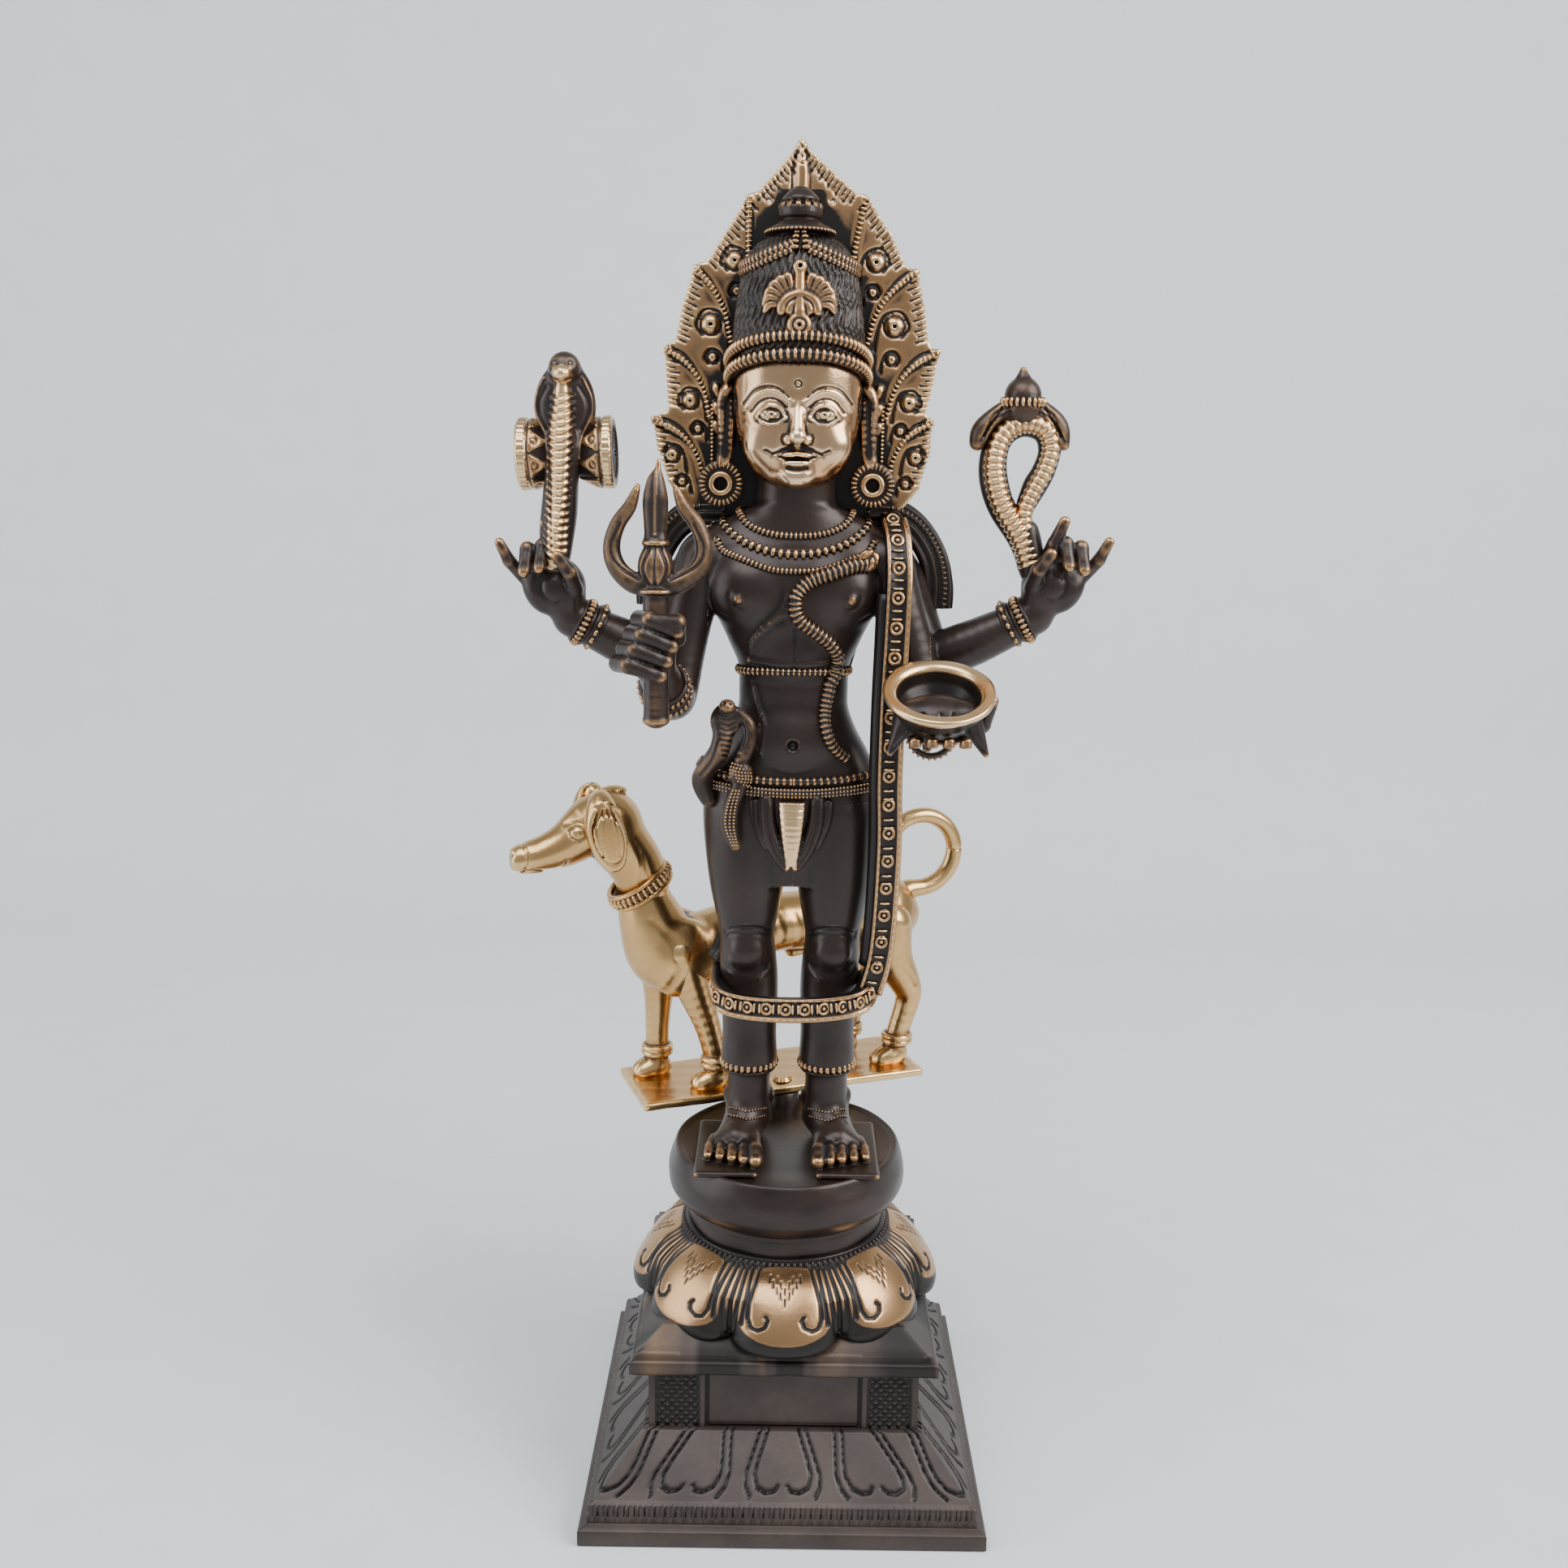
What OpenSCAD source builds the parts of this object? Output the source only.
// Four-armed brass standing figure on a lotus pedestal, with a dog that turns on a pin behind its heels.
// Millimetres. +Z is up, the figure faces -Y, and the origin is the centre of the face it stands on.

/* [Plinth] */
// Side of the square foot
foot_side = 114; // [108:1:120]
// Thickness of the foot's flat edge
foot_edge = 5; // [4:0.5:7]
// Side of the square waist
dado_side = 77; // [70:1:80]
// Side of the thin slab under the lotus
cap_side = 87; // [84:1:92]
// Wall of the hollow foot
foot_wall = 6; // [4:0.5:8]

/* [Lotus and pedestal] */
// Radius at the tips of the lotus petals
lotus_r = 46; // [44:0.5:48]
// Number of main petals
petals = 8; // [6:1:10]
// Radius of the round pedestal at its fullest
disc_r = 35.5; // [34:0.5:37]
// Radius of the stud that clamps the base together
stud_r = 4; // [3:0.5:5]

/* [Figure] */
// Distance from the middle to the centre of each shin
leg_gap = 11.4; // [11:0.1:12]
// Radius of a forearm at the elbow
forearm_r = 6.6; // [5.5:0.1:7]
// Thickness of the flame halo
halo_t = 3.6; // [3:0.1:5]
// Outer radius of the skull bowl's rim
bowl_r = 13; // [12:0.5:14]

/* [Dog] */
// Length of the dog's slab
slab_l = 94; // [90:1:98]
// Width of the dog's slab
slab_w = 32; // [30:1:34]
// Thickness of the dog's slab
slab_t = 2.6; // [2:0.1:3]
// Turn of the dog at rest, seen from above
dog_turn = 20; // [16:1:24]
// Radius of the pivot pin
pin_r = 1.8; // [1.5:0.1:2.2]

/* [Hidden] */
// Heights of the base, from the ground up
foot_bead_z = 8;
foot_slope_z = 11.5;
dado_z = 25.5;
cap_z = 44.5;
lotus_z = 48.7;
collar_z = 71.5;
neck_z = 73;
disc_z = 80;
disc_top_z = 97;

// The pivot stands on a boss at the back of the pedestal
pivot = [-1.5, 27.5];
boss_r = 5.4;
slab_z = 101.7;
boss_gap = 0.2;
running_gap = 0.05;
slab_front = 5.8;

// Each lotus petal ends in a round tip of this radius
petal_r = 19;

cavity_z = 19;
stud_clear = 0.3;
nut_flats_r = 7.2;
nut_h = 6;
washer_r = 10;
washer_t = 1.5;

halo_y = 7;
// The head bands rise towards the brow
diadem_tilt = 17;

DARK = [0.16, 0.12, 0.10];
BRASS = [0.78, 0.58, 0.30];
GOLD = [0.85, 0.68, 0.36];

// ---- Helpers ----

// A chain of tapered round lengths through points [x, y, z, r]
module limb(points)
    for (i = [0 : len(points) - 2])
        hull() {
            ball(points[i]);
            ball(points[i + 1]);
        }

module ball(p)
    translate([p[0], p[1], p[2]])
        sphere(p[3]);

// A body through oval levels [z, centre x, centre y, half width, half depth]
module stacked(levels)
    for (i = [0 : len(levels) - 2])
        hull() {
            oval(levels[i]);
            oval(levels[i + 1]);
        }

module oval(v)
    translate([v[1], v[2], v[0]])
        linear_extrude(0.05)
            scale([v[3], v[4]])
                circle(1);

module square_block(side, z, h)
    translate([-side / 2, -side / 2, z])
        cube([side, side, h]);

module stud_hole(z, h, r)
    translate([0, 0, z])
        cylinder(r = r, h = h, $fn = 48);

// A round ring lying flat, or turned by the caller
module ring(r, t)
    rotate_extrude($fn = 48)
        translate([r, 0])
            circle(t, $fn = 20);

// ---- Base ----

module plinth_foot() color(DARK)
    difference() {
        union() {
            square_block(foot_side, 0, foot_edge);
            square_block(foot_side - 5, foot_edge, foot_bead_z - foot_edge);
            square_block(foot_side - 7, foot_bead_z, foot_slope_z - foot_bead_z);
            hull() {
                square_block(foot_side - 8, foot_slope_z - 0.1, 0.1);
                square_block(dado_side + 3, dado_z - 0.1, 0.1);
            }
        }
        square_block(dado_side - 2 * foot_wall + 22, -1, foot_edge + 8);
        square_block(dado_side - 2 * foot_wall, -1, cavity_z + 1);
        stud_hole(cavity_z - 1, dado_z, stud_r + stud_clear);
    }

module plinth_dado() color(DARK)
    difference() {
        union() {
            square_block(dado_side - 1.6, dado_z, cap_z - dado_z);
            for (sx = [-1, 1], sy = [-1, 1])
                translate([sx * (dado_side / 2 - 6.5) - 6.5, sy * (dado_side / 2 - 6.5) - 6.5, dado_z])
                    cube([13, 13, cap_z - dado_z]);
        }
        stud_hole(dado_z - 1, cap_z, stud_r + stud_clear);
    }

module plinth_cap() color(DARK)
    difference() {
        square_block(cap_side, cap_z, lotus_z - cap_z);
        stud_hole(cap_z - 1, 10, stud_r + stud_clear);
    }

// A domed seat with an undercut lip, cut to the outline of its petals
module lotus_seat() color(BRASS)
    difference() {
        intersection() {
            rotate_extrude($fn = 96)
                polygon([[0, lotus_z], [39, lotus_z], [44, 51], [lotus_r, 53.5], [45.4, 57],
                         [42, 63], [37.5, 68], [32.5, 71], [29, neck_z], [0, neck_z]]);
            translate([0, 0, lotus_z])
                linear_extrude(30) {
                    circle(lotus_r - 6, $fn = 96);
                    for (i = [0 : petals - 1])
                        rotate(i * 360 / petals - 90)
                            translate([lotus_r - petal_r, 0])
                                circle(petal_r, $fn = 64);
                }
        }
        stud_hole(lotus_z - 1, 40, stud_r + stud_clear);
    }

module lotus_collar() color(DARK)
    difference() {
        translate([0, 0, collar_z])
            ring(30.2, 1.6);
        rotate_extrude($fn = 96)
            polygon([[0, collar_z - 4], [31.5, collar_z - 4], [32.5, 71], [29, neck_z],
                     [29, collar_z + 4], [0, collar_z + 4]]);
    }

module pedestal_disc() color(DARK)
    difference() {
        union() {
            rotate_extrude($fn = 96)
                polygon([[0, neck_z], [29, neck_z], [29.4, 78.5], [30.2, 78.5], [30.2, disc_z],
                         [33, disc_z + 2], [disc_r - 0.4, disc_z + 5], [disc_r, disc_z + 8],
                         [disc_r - 0.4, disc_z + 12], [disc_r - 2, disc_top_z - 0.4],
                         [disc_r - 2.8, disc_top_z], [disc_r - 4.5, disc_top_z - 0.6],
                         [0, disc_top_z - 0.6]]);
            translate([pivot[0], pivot[1], disc_top_z - 2])
                cylinder(r = boss_r, h = slab_z - boss_gap - disc_top_z + 2, $fn = 48);
        }
        stud_hole(neck_z - 1, 16, stud_r);
        translate([pivot[0], pivot[1], disc_top_z - 8])
            cylinder(r = pin_r, h = 20, $fn = 32);
    }

module anchor_stud() color(GOLD)
    translate([0, 0, cavity_z - washer_t - nut_h - 3])
        cylinder(r = stud_r, h = neck_z + 15 - (cavity_z - washer_t - nut_h - 3), $fn = 48);

module anchor_washer() color(GOLD)
    translate([0, 0, cavity_z - washer_t])
        difference() {
            cylinder(r = washer_r, h = washer_t, $fn = 48);
            translate([0, 0, -1])
                cylinder(r = stud_r + stud_clear, h = washer_t + 2, $fn = 48);
        }

module anchor_nut() color(GOLD)
    translate([0, 0, cavity_z - washer_t - nut_h])
        difference() {
            cylinder(r = nut_flats_r, h = nut_h, $fn = 6);
            translate([0, 0, -1])
                cylinder(r = stud_r, h = nut_h + 2, $fn = 48);
        }

// ---- Figure ----

// Levels of the figure's right leg, mirrored for the left one
leg_levels = [
    [104, -leg_gap, 1, 6.8, 8], [113, -leg_gap, 0.5, 6.6, 7], [122, -leg_gap, 0.5, 7, 7.4],
    [133, -leg_gap, 0.5, 7.8, 8.2], [145, -leg_gap - 0.3, 0.3, 8.2, 8.6],
    [152, -leg_gap - 0.6, 0, 7.8, 8.4],
    [159, -leg_gap - 1, -0.6, 8.3, 9.2], [169, -leg_gap - 1.2, 0, 9.8, 10.4],
    [180, -leg_gap - 1.4, 0.5, 11.4, 11.8], [191, -leg_gap - 1.6, 1, 12.6, 12.8],
    [201, -leg_gap - 1.2, 1.5, 12.6, 13]
];

module leg(side) color(DARK)
    scale([side, 1, 1]) {
        stacked(leg_levels, $fn = 16);
        hull() {
            translate([-leg_gap, 2, 105])
                scale([6.8, 8.4, 5])
                    sphere(1, $fn = 12);
            translate([-leg_gap, 5, 100.5])
                sphere(4.5, $fn = 12);
            translate([-15, -9, 100.5])
                sphere(5, $fn = 12);
        }
        // Five toes, shorter towards the outside
        for (i = [0 : 4])
            hull() {
                translate([-12.5 - 2.9 * i, -12, 101.2])
                    sphere(2.1 - 0.12 * i, $fn = 6);
                translate([-11.6 - 3.3 * i, -24.5 + 0.9 * i, 100.6])
                    sphere(2 - 0.1 * i, $fn = 7);
            }
        translate([-26.8, -27, disc_top_z - 0.6])
            cube([18.5, 37.5, 1.9]);
    }

module right_leg()
    leg(1);

module left_leg()
    leg(-1);

module torso() color(DARK) {
    stacked([[196, 0, 1.5, 24.5, 12.5], [207, 0, 1.5, 25.2, 13], [214, 0, 1, 22.5, 12],
             [222, 0, 0, 18, 11],
             [230, 0, -0.5, 15.4, 10.4], [237, 0, -0.5, 15, 10.4], [246, 0, -0.5, 18.6, 11.4],
             [256, 0, -0.5, 23, 12.6], [266, 0, 0, 26, 12.8], [275, 0, 1, 27, 11.5], [281, 0, 2, 20, 9.5],
             [284, 0, 2, 12, 9], [292, 0, 1, 11, 10]], $fn = 24);
    for (s = [-1, 1])
        translate([s * 13, -5, 262])
            scale([12, 8, 10])
                sphere(1, $fn = 12);
}

module head() color(GOLD) {
    stacked([[289.6, 0, -5, 7, 6.5], [292.5, 0, -4.6, 12, 10], [297, 0, -4, 15, 12],
             [303, 0, -3.4, 16.4, 13],
             [310, 0, -3, 17.2, 13.4], [318, 0, -3, 17.2, 13.2], [324, 0, -3, 16, 12.4]], $fn = 28);
    limb([[0, -15.6, 312, 1.4], [0, -17.4, 304, 2], [0, -15, 303, 3]], $fn = 10);
    for (s = [-1, 1])
        limb([[s * 17.4, -1, 314, 2.2], [s * 18, -1.6, 307, 2.4], [s * 18.6, -2.2, 297.4, 2]], $fn = 10);
}

module hair_crown() color(DARK)
    intersection() {
        translate([0, -3, 0])
            rotate_extrude($fn = 64)
                polygon([[0, 321], [17, 321], [18, 325], [17.4, 331], [15.8, 338], [14.6, 345], [12, 351],
                         [9.6, 355], [9.2, 356.8], [4.9, 359.6], [5.8, 361.2], [5.8, 363], [4.6, 364.8],
                         [2, 367.4], [0, 368.6]]);
        translate([-30, halo_y + halo_t / 2 - 50, 300])
            cube([60, 50, 100]);
    }

module diadem() color(BRASS)
    difference() {
        for (z = [319.4, 323.6])
            translate([0, -1.6, z])
                rotate([-diadem_tilt, 0, 0])
                    ring(17.8, 1.9);
        translate([-40, halo_y - 2, 300])
            cube([80, 40, 40]);
    }

module crown_crest() color(BRASS)
    translate([0, -20.2, 331.5])
        rotate([78, 0, 0])
            linear_extrude(3.4, center = true)
                union() {
                    circle(4, $fn = 32);
                    translate([0, 8])
                        circle(8, $fn = 48);
                    translate([0, 16])
                        circle(2.4, $fn = 24);
                }

// Half width and height at each tip and notch of the five overlapping flames
halo_right = [
    [0, 381.5], [15.8, 368], [18.3, 367.5], [25, 358], [29.5, 349.2], [32.6, 348.6], [35, 338],
    [36.2, 328.5], [39.2, 327.5], [37.6, 318], [35.8, 310], [37.6, 309.2], [37.6, 300], [34.5, 290],
    [29, 283], [0, 278]
];
halo_left = [
    [30, 283], [36, 291], [39.2, 300], [40.4, 308.6], [36, 310.4], [36.6, 318], [37.2, 327.8],
    [34.2, 328.9], [32.4, 338], [28.9, 349.2], [25.6, 350], [20.5, 358], [14.4, 367.3], [12.2, 368]
];

module flame_halo() color(BRASS)
    translate([0, halo_y, 0])
        rotate([90, 0, 0])
            linear_extrude(halo_t, center = true)
                polygon(concat(halo_right, [for (p = halo_left) [-p[0], p[1]]]));

module earring(side) color(BRASS)
    translate([side * 20.8, -2.5, 290.8])
        rotate([90, 0, 0]) {
            cylinder(r = 5.4, h = 2.4, center = true, $fn = 40);
            translate([0, 0, -9])
                cylinder(r = 2.6, h = 9, $fn = 32);
            ring(5.2, 1.2);
            translate([0, 0, 1.2])
                ring(2.8, 1);
        }

module right_earring()
    earring(-1);

module left_earring()
    earring(1);

// A strand round the neck that dips at the front, [half width, half depth, height, dip, thickness]
module strand(w, d, z, dip, t)
    translate([0, 1, z])
        rotate([dip, 0, 0])
            scale([w, d, 0.62 * (w + d)])
                ring(1, t / (w + d) * 2);

module collar_necklace() color(BRASS)
    strand(14.2, 13, 284.4, 17, 1.7);

module pendant_necklace() color(BRASS)
    strand(17.4, 15.6, 281, 22, 2.1);

module outer_necklace() color(BRASS)
    strand(20.4, 17.2, 277.6, 24, 1.8);

module chest_serpent() color(BRASS)
    limb([[20, -12, 276, 2], [12, -14.5, 272, 1.8], [4, -15.5, 268, 1.7], [0.5, -14.8, 262, 1.7],
          [3, -13.6, 255, 1.8],
          [9, -13, 250, 1.8], [12.5, -12.3, 243, 1.7], [10.5, -12, 235, 1.6], [9, -12.4, 226, 1.6],
          [11, -13, 218, 1.5], [15.5, -12.5, 212.5, 1.4]], $fn = 10);

module chest_band() color(BRASS)
    translate([0, -0.5, 238])
        scale([1, 0.72, 1])
            ring(15.4, 1.7);

module girdle() color(BRASS)
    limb([for (a = [-180 : 20 : 180])
             [25.2 * cos(a), 1.4 + 13.6 * sin(a), 206.6 + 1.2 * sin(a) - 2 * abs(sin(a)), 3.2]],
             $fn = 10);

module hip_cobra() color(BRASS)
    limb([[-24, -3, 203, 3], [-25, -6, 207, 3], [-22, -10, 211, 3.2], [-19, -12, 216, 3],
          [-19.5, -11.5, 222, 3.6],
          [-19, -11.5, 227, 3.4], [-15.5, -12.6, 228, 2.4], [-13.5, -14, 222, 2.4],
          [-15, -14.5, 214, 2.8],
          [-15, -14.6, 206, 3.4], [-16, -14.5, 198, 2.6], [-14.5, -13.8, 190, 1.8]], $fn = 10);

module loin_flap() color(BRASS) {
    for (x = [-4.4, 0, 4.4], dz = [0, 1])
        hull() {
            translate([x, -13.4, 201 - dz * 8])
                sphere(x == 0 ? 3 : 2.6, $fn = 10);
            translate([x * 0.6, -12.6, 193 - dz * 8])
                sphere(x == 0 ? 2.4 : 2.6, $fn = 10);
        }
}

module shoulder_tresses() color(DARK)
    for (s = [-1, 1])
        scale([s, 1, 1])
            limb([[22, 8, 283, 3], [29, 9, 281, 3.4], [36, 9.4, 276, 3.6], [39.6, 9.4, 269, 3.6],
                  [41, 9, 262, 3.2], [40.5, 8.6, 257, 2.4]], $fn = 10);

module anklets() color(BRASS)
    for (s = [-1, 1])
        translate([s * leg_gap, 0.5, 122])
            ring(7.3, 1.6);

// Shoulder, elbow and wrist points of each arm, [x, y, z, r]
right_rear = [[-24, 5, 272, 7], [-30, 6, 262, 6.8], [-36, 6, 246, 6.6], [-38.5, 4, 242, forearm_r],
              [-52, 0, 247.5, 6], [-63, -4, 253.5, 5]];
left_rear = [[24, 5, 272, 7], [31, 6, 262, 6.8], [36, 6, 246, 6.8], [38.5, 4, 242, forearm_r],
             [54, 0, 249, 6], [67.5, -4, 256, 5]];
right_front = [[-25, -1, 270, 7.2], [-29, -3, 256, 6.8], [-32, -5, 240, 6.6], [-33.4, -8, 232.5, 6.6],
               [-34.6, -18, 236, 6.2], [-35.6, -25, 241, 5.8]];
left_front = [[25, -1, 270, 7.2], [29, -3, 256, 6.8], [33, -4, 240, 6.6], [35, -6, 232, 6.6],
              [37, -15, 226, 6.4], [38, -22, 223.5, 6]];

// A bent finger from the knuckle through its middle joint to the tip
module finger(a, b, c, r)
    limb([[a[0], a[1], a[2], r], [b[0], b[1], b[2], r * 0.95], [c[0], c[1], c[2], r * 0.8]], $fn = 7);

// An upright hand, palm forward, whose first finger and thumb pinch what it holds
module raised_hand(side, w) {
    hull() {
        ball([w[0], w[1], w[2], 5], $fn = 12);
        ball([w[0] + side * 8, w[1] - 1, w[2] + 12, 4.6], $fn = 12);
        ball([w[0] - side * 0.5, w[1] - 1, w[2] + 12, 4.8], $fn = 12);
        ball([w[0] + side * 7, w[1] - 1, w[2] + 4, 4], $fn = 12);
    }
    for (i = [0 : 3])
        finger([w[0] + side * (10 - 3.6 * i), w[1] - 1, w[2] + 13 + i],
               [w[0] + side * (12 - 3.6 * i), w[1] - 4, w[2] + 20 + i * 1.6],
               [w[0] + side * (10 - 3.6 * i), w[1] - 8, w[2] + 15.5 + i * 1.4], 2);
    finger([w[0] - side * 2, w[1] - 4, w[2] + 7], [w[0] - side * 1.6, w[1] - 8, w[2] + 13],
           [w[0] - side * 0.6, w[1] - 8.6, w[2] + 19], 2);
}

module right_rear_arm() color(DARK) {
    limb(right_rear, $fn = 12);
    raised_hand(-1, right_rear[5]);
}

module left_rear_arm() color(DARK) {
    limb(left_rear, $fn = 12);
    raised_hand(1, left_rear[5]);
}

module right_front_arm() color(DARK) {
    limb(right_front, $fn = 12);
    hull() {
        ball(right_front[5], $fn = 12);
        ball([-40, -28, 246, 5.8], $fn = 12);
        ball([-33.4, -28, 250, 5.8], $fn = 12);
    }
    for (i = [0 : 3])
        finger([-46.4 + 1.5 * i, -29, 243.4 + 3.8 * i], [-42 + 1.5 * i, -35.6, 242.6 + 3.8 * i],
               [-35 + 1.2 * i, -35, 240.5 + 3.6 * i], 2.3);
    finger([-30, -29, 252], [-31, -33.5, 257], [-35.6, -35, 259], 2.3);
}

module left_front_arm() color(DARK) {
    limb(left_front, $fn = 12);
    hull() {
        ball([38, -24, 223.5, 5.8], $fn = 12);
        ball([32.6, -33, 221.6, 3.4], $fn = 12);
        ball([44, -33, 221.6, 3.4], $fn = 12);
        ball([38, -34, 222.3, 4.2], $fn = 12);
    }
    for (i = [0 : 3])
        finger([31.6 + 4.4 * i, -34, 221.5], [31.2 + 4.5 * i, -38.4, 223],
            [31 + 4.6 * i, -41.5, 226.2], 2.1);
    finger([45, -29, 223], [50.4, -31, 229], [52.4, -34, 236.5], 2.2);
}

module bracelets() color(BRASS) {
    for (w = [right_rear, left_rear])
        translate([w[5][0] - w[5][0] / abs(w[5][0]) * 2, w[5][1] + 0.7, w[5][2] - 1])
            rotate([0, w[5][0] / abs(w[5][0]) * 61, 0])
                ring(5.6, 1.5);
    translate([-35, -21, 238])
        rotate([62, 0, 0])
            ring(6.1, 1.4);
    translate([37.6, -18.5, 224.8])
        rotate([75, 0, 0])
            ring(6.3, 1.4);
}

// ---- What the hands hold ----

drum_c = [-62.6, -3, 298.6];

module drum() color(BRASS)
    translate(drum_c)
        rotate([0, 88, 0])
            rotate_extrude($fn = 48)
                polygon([[0, -12.6], [9.4, -12.6], [9.6, -11], [9, -10.4], [6.6, -2], [6.2, 0], [6.6, 2],
                         [9, 10.4], [9.6, 11], [9.4, 12.6], [0, 12.6]]);

module drum_cobra() color(BRASS)
    limb([[-65.6, -8, 270, 3.4], [-65, -9, 277, 3.8], [-64, -9, 285, 4], [-63.4, -10, 293, 4.2],
          [-63, -10.5, 301, 5], [-62.4, -9, 308, 6.8], [-62.2, -8, 313, 7.2], [-62.2, -7.6, 318, 5.6],
          [-62.2, -8.4, 322, 3.4]], $fn = 12);

module noose() color(BRASS)
    limb([[64.6, -5, 272, 3.6], [62, -5, 277, 3.2], [60.2, -5, 280, 2.9], [56.4, -5, 286.7, 2.8],
          [54.2, -5, 294.4, 2.8], [54.6, -5, 301.1, 2.7], [57, -5, 305.4, 2.6], [61.7, -5, 307.6, 2.6],
          [66.6, -5, 306, 2.5], [68.7, -5, 301.4, 2.4], [67.4, -5, 295.7, 2.3], [64.8, -5, 290.2, 2.2],
          [63, -5, 284.6, 2.4], [63.6, -5, 278, 2.6]], $fn = 10);

module noose_finial() color(BRASS)
    limb([[49, -5, 304, 2.2], [52, -5, 309, 2.4], [56.4, -5, 311.6, 3], [61, -5, 313.6, 4.4],
          [61, -5, 316, 4],
          [60.7, -5, 322, 0.6], [61, -5, 315, 4.2], [66, -5, 311.4, 2.8], [70, -5, 308, 2.2],
          [71.4, -5, 303.6, 1.6]], $fn = 12);

trident_c = [-36, -31, 0];

module trident() color(BRASS)
    translate(trident_c) {
        for (s = [-1, 1])
            scale([s, 1, 1])
                limb([[1.5, 1, 264.6, 3], [6, 1, 266, 3], [10, 0.6, 270, 2.8], [11, 0, 275, 2.4],
                      [9, 0, 281, 2.1], [6, 0, 285, 1.8], [4.6, 0, 289.6, 0.8]], $fn = 10);
        limb([[0, 1, 230, 1.6], [0, 1, 234, 3.2], [0, 1, 256, 3.2], [0, 0.6, 262, 4.6], [0, 0, 266, 4],
              [0, -0.8, 270, 4.4], [0, 0, 276, 2.2], [0.4, 0, 283, 2.4], [0.8, 0, 288.6, 3],
              [1.1, 0, 297, 0.7]],
             $fn = 12);
    }

bowl_c = [37.9, -35, 237];
bowl_tilt = 30;
bowl_depth = 11;
bowl_rim = 2.2;

module skull_bowl() color(BRASS)
    translate(bowl_c)
        rotate([bowl_tilt, 0, 0])
            rotate_extrude($fn = 64)
                difference() {
                    intersection() {
                        translate([0, bowl_r - bowl_depth])
                            circle(bowl_r, $fn = 64);
                        translate([0, -bowl_depth])
                            square([bowl_r, bowl_depth]);
                    }
                    intersection() {
                        translate([0, bowl_r - bowl_depth])
                            circle(bowl_r - bowl_rim, $fn = 64);
                        translate([-1, -bowl_depth])
                            square([bowl_r, bowl_depth + 1]);
                    }
                }

// ---- Long garland: down the front, round the shins and up the back ----

module garland_strap() color(BRASS)
    limb([[27, -2, 281, 3], [28, -8, 276, 3.2], [28.2, -12.5, 266, 3.2], [27.8, -13.5, 250, 3.2],
          [27, -13.5, 230, 3.2], [27, -13, 210, 3.2], [27.2, -12, 195, 3.2], [27, -10.5, 180, 3],
          [26.4, -9.6, 166, 2.8], [25.4, -8.6, 157, 2.6], [23.6, -7.4, 149.6, 2.6]], $fn = 10);

module garland_hem() color(BRASS) {
    for (z = [141.5, 145.5])
        limb([[24.2, 2, z + 5, 2.2], [24, -6, z + 4, 2.4], [20, -12, z + 1.5, 2.4], [12, -14.6, z, 2.4],
              [0, -15.2, z - 0.4, 2.4], [-12, -14.6, z, 2.4], [-19.5, -11.5, z + 1, 2.4],
              [-21.8, -4, z + 2, 2.4],
              [-21.4, 5, z + 4, 2.2]], $fn = 10);
}

module garland_back() color(BRASS)
    limb([[-21, 7, 151, 2.4], [-17, 12.6, 160, 2.4], [-10, 14.8, 175, 2.4], [-3, 16.6, 190, 2.4],
          [2, 17, 205, 2.4], [7, 14.6, 220, 2.4], [12, 13.4, 235, 2.4], [17, 14.6, 252, 2.4],
          [22, 14.4, 266, 2.4], [26, 10, 277, 2.6], [27, 3, 282, 2.6]], $fn = 10);

// ---- Dog, built along X facing -X, then turned on its pivot ----

// The pivot is this far from the slab's middle, along the slab
slab_shift = -1.9;

module on_pivot()
    translate([pivot[0], pivot[1], 0])
        rotate([0, 0, dog_turn])
            translate([slab_shift, 0, 0])
                children();

dog_y = slab_w / 2 - slab_front;

module dog_slab() color(GOLD)
    on_pivot()
        difference() {
            translate([-slab_l / 2, -slab_front, slab_z])
                cube([slab_l, slab_w, slab_t]);
            translate([-slab_shift, 0, slab_z - 1])
                cylinder(r = pin_r + running_gap, h = slab_t + 2, $fn = 32);
        }

module pivot_pin() color(GOLD)
    translate([pivot[0], pivot[1], 0]) {
        translate([0, 0, disc_top_z - 8])
            cylinder(r = pin_r, h = slab_z + slab_t + 0.4 - disc_top_z + 8, $fn = 32);
        translate([0, 0, slab_z + slab_t + 0.3])
            cylinder(r1 = pin_r + 1.4, r2 = pin_r + 0.6, h = 1, $fn = 32);
    }

module dog_body() color(GOLD)
    on_pivot()
        translate([0, dog_y, 0]) {
            limb([[-42, 0, 166, 7.4], [-38, 0, 156, 10], [-34, 0, 147, 11.5], [-26, 0, 146, 12],
                  [-14, 0, 150, 10.4],
                  [0, 0, 153.5, 9.4], [14, 0, 153.5, 9.4], [28, 0, 155, 10.6], [38, 0, 156.5, 10.6],
                  [44, 0, 153, 8]], $fn = 16);
        }

module dog_head() color(GOLD)
    on_pivot()
        translate([0, dog_y, 0])
            limb([[-40, 0, 168, 7.6], [-43, 0, 176, 8.2], [-49, 0, 184, 9], [-52, 0, 190, 9.4],
                  [-57, 0, 190, 8.8],
                  [-63, 0, 184.5, 7.4], [-70, 0, 181.5, 5.4], [-77, 0, 180, 4.6], [-81, 0, 179.4, 4]],
                  $fn = 14);

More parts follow.
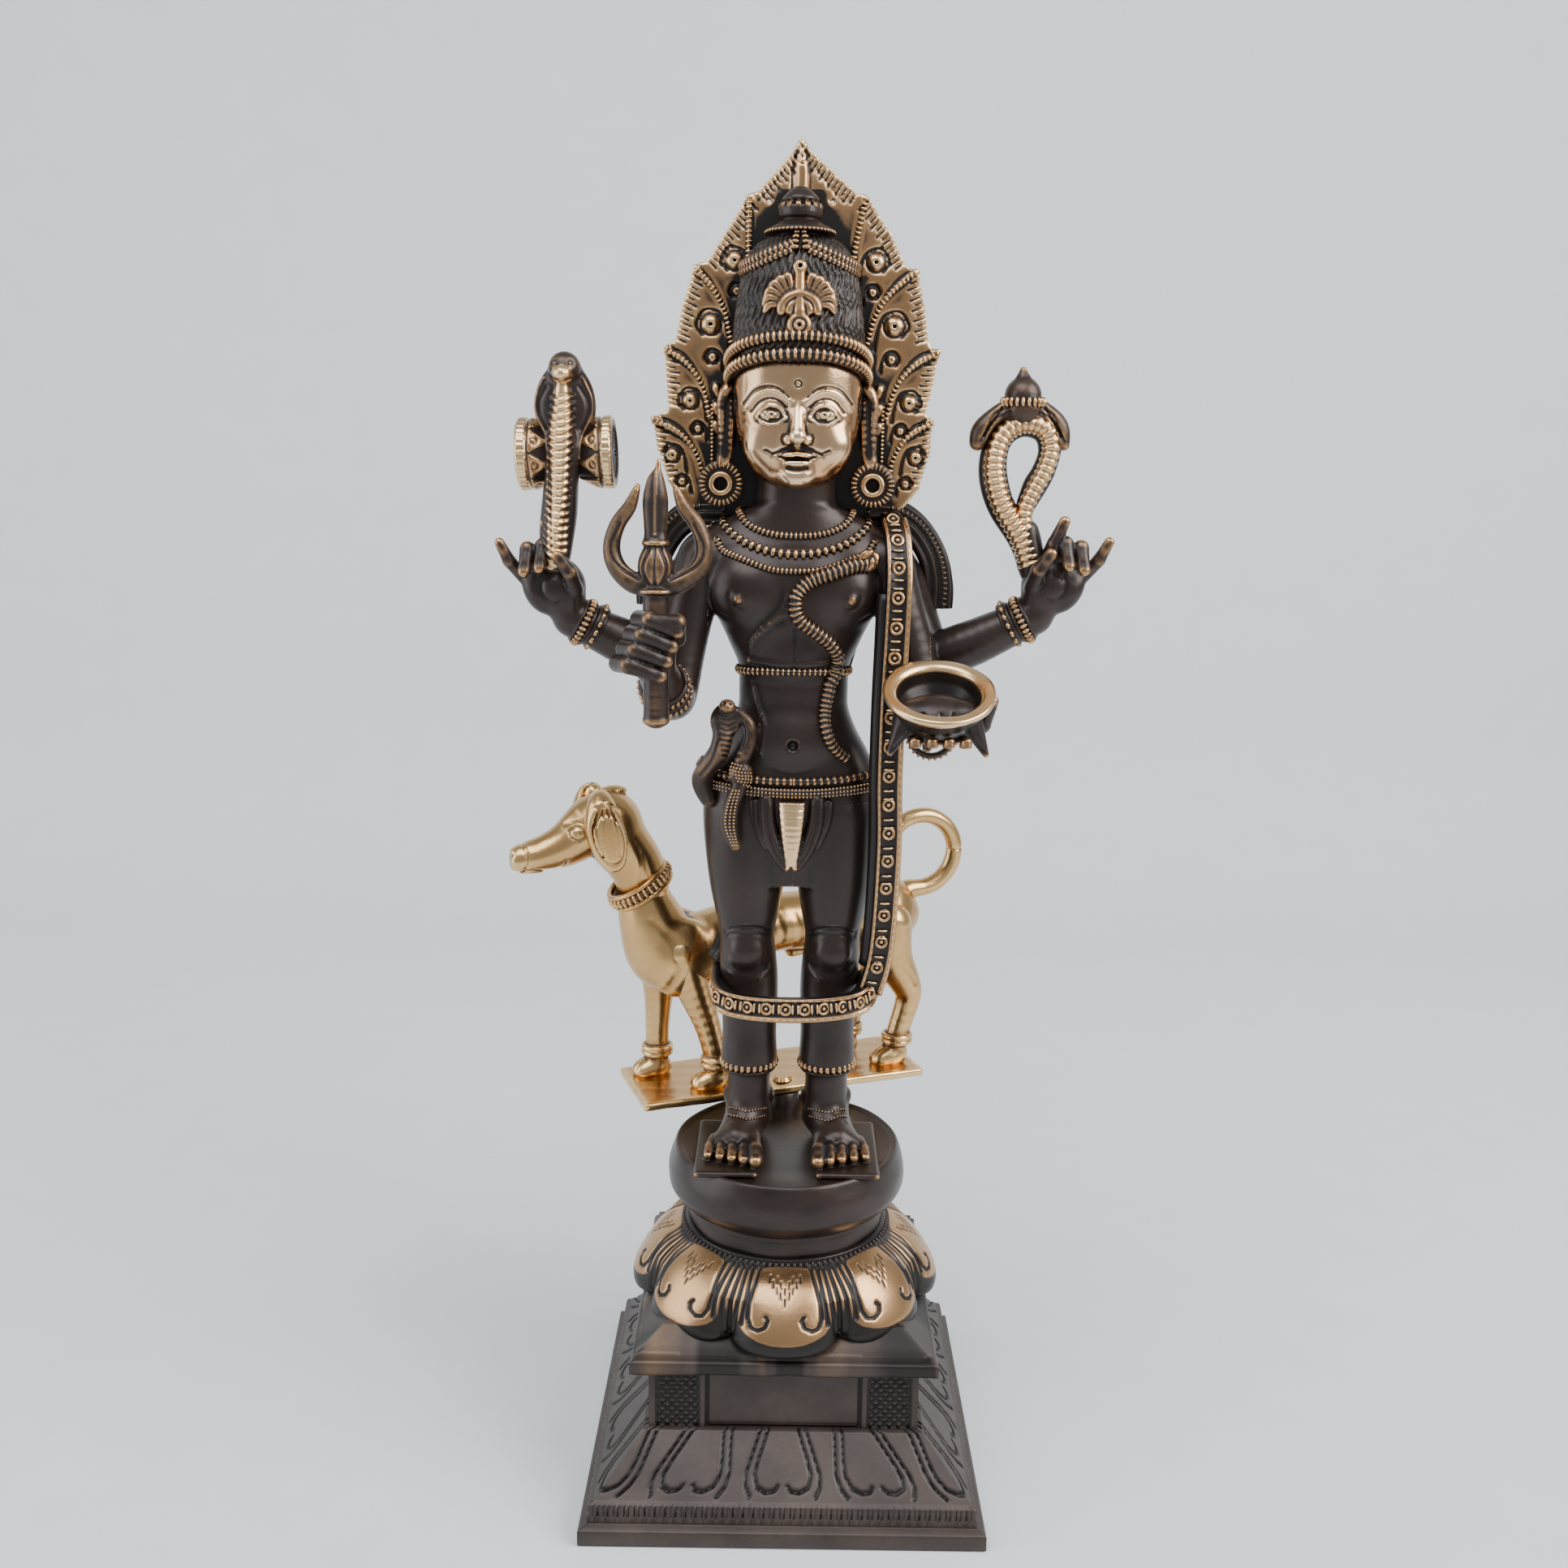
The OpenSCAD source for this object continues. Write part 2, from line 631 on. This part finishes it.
module dog_ears() color(GOLD)
    on_pivot()
        translate([0, dog_y, 0])
            for (s = [-1, 1])
                scale([1, s, 1])
                    limb([[-55, 5.5, 197.5, 3], [-55.5, 7.6, 195, 3.4], [-55.5, 8.8, 191, 3.4],
                          [-54.5, 9.2, 187, 3.2], [-53.5, 9.2, 183.5, 2.6]], $fn = 10);

// A dog's paw with its toes towards -X
module paw(x, y)
    hull() {
        translate([x, y, slab_z + slab_t + 3.2])
            sphere(3.6, $fn = 10);
        translate([x - 5, y, slab_z + slab_t + 2.2])
            sphere(2.9, $fn = 10);
        translate([x - 2, y, slab_z + slab_t + 0.5])
            cube([9, 6, 1], center = true);
    }

module dog_forelegs() color(GOLD)
    on_pivot()
        translate([0, dog_y, 0]) {
            limb([[-34, 7, 140, 6], [-34, 7.6, 130, 4.2], [-34, 7.8, 120, 3.6], [-34, 7.8, 110, 3.4]],
                  $fn = 10);
            paw(-35, 7.8);
            limb([[-31, -7, 148, 6], [-27, -7.6, 136, 4.8], [-22, -7.8, 124, 3.8],
                  [-19, -7.8, 111, 3.2]], $fn = 10);
            paw(-20.5, -7.8);
        }

module dog_hindlegs() color(GOLD)
    on_pivot()
        translate([0, dog_y, 0])
            for (v = [[0, -6.8], [-12, 6.8]]) {
                limb([[38 + v[0] * 0.4, v[1], 152, 8], [40 + v[0] * 0.7, v[1], 140, 6.4], [45.5 + v[0],
                      v[1], 131, 4.6],
                      [46.5 + v[0], v[1], 126, 3.8], [43 + v[0], v[1], 115, 3.2], [42.5 + v[0], v[1],
                      109, 3.2]],
                     $fn = 10);
                paw(41 + v[0], v[1]);
            }

// The tail curls up and forward into a nearly closed ring
tail_c = [52.4, 173];
tail_ring_r = 12.2;

module dog_tail() color(GOLD)
    on_pivot()
        translate([0, dog_y, 0])
            limb(concat([[44, 0, 157, 3.6], [48, 0, 160.4, 3.2]],
                        [for (a = [-85 : 22 : 135])
                            [tail_c[0] + tail_ring_r * cos(a), 0, tail_c[1] + tail_ring_r * sin(a),
                            2.5]]), $fn = 10);

module dog_collar() color(GOLD)
    on_pivot()
        translate([-42, dog_y, 170])
            rotate([0, -32, 0])
                ring(9, 1.8);

// ---- The part ----

plinth_foot();
plinth_dado();
plinth_cap();
lotus_seat();
lotus_collar();
pedestal_disc();
anchor_stud();
anchor_washer();
anchor_nut();
right_leg();
left_leg();
torso();
head();
hair_crown();
diadem();
crown_crest();
flame_halo();
right_earring();
left_earring();
collar_necklace();
pendant_necklace();
outer_necklace();
chest_serpent();
chest_band();
girdle();
hip_cobra();
loin_flap();
shoulder_tresses();
anklets();
bracelets();
right_rear_arm();
left_rear_arm();
right_front_arm();
left_front_arm();
drum();
drum_cobra();
noose();
noose_finial();
trident();
skull_bowl();
garland_strap();
garland_hem();
garland_back();
dog_slab();
dog_body();
dog_head();
dog_ears();
dog_forelegs();
dog_hindlegs();
dog_tail();
dog_collar();
pivot_pin();
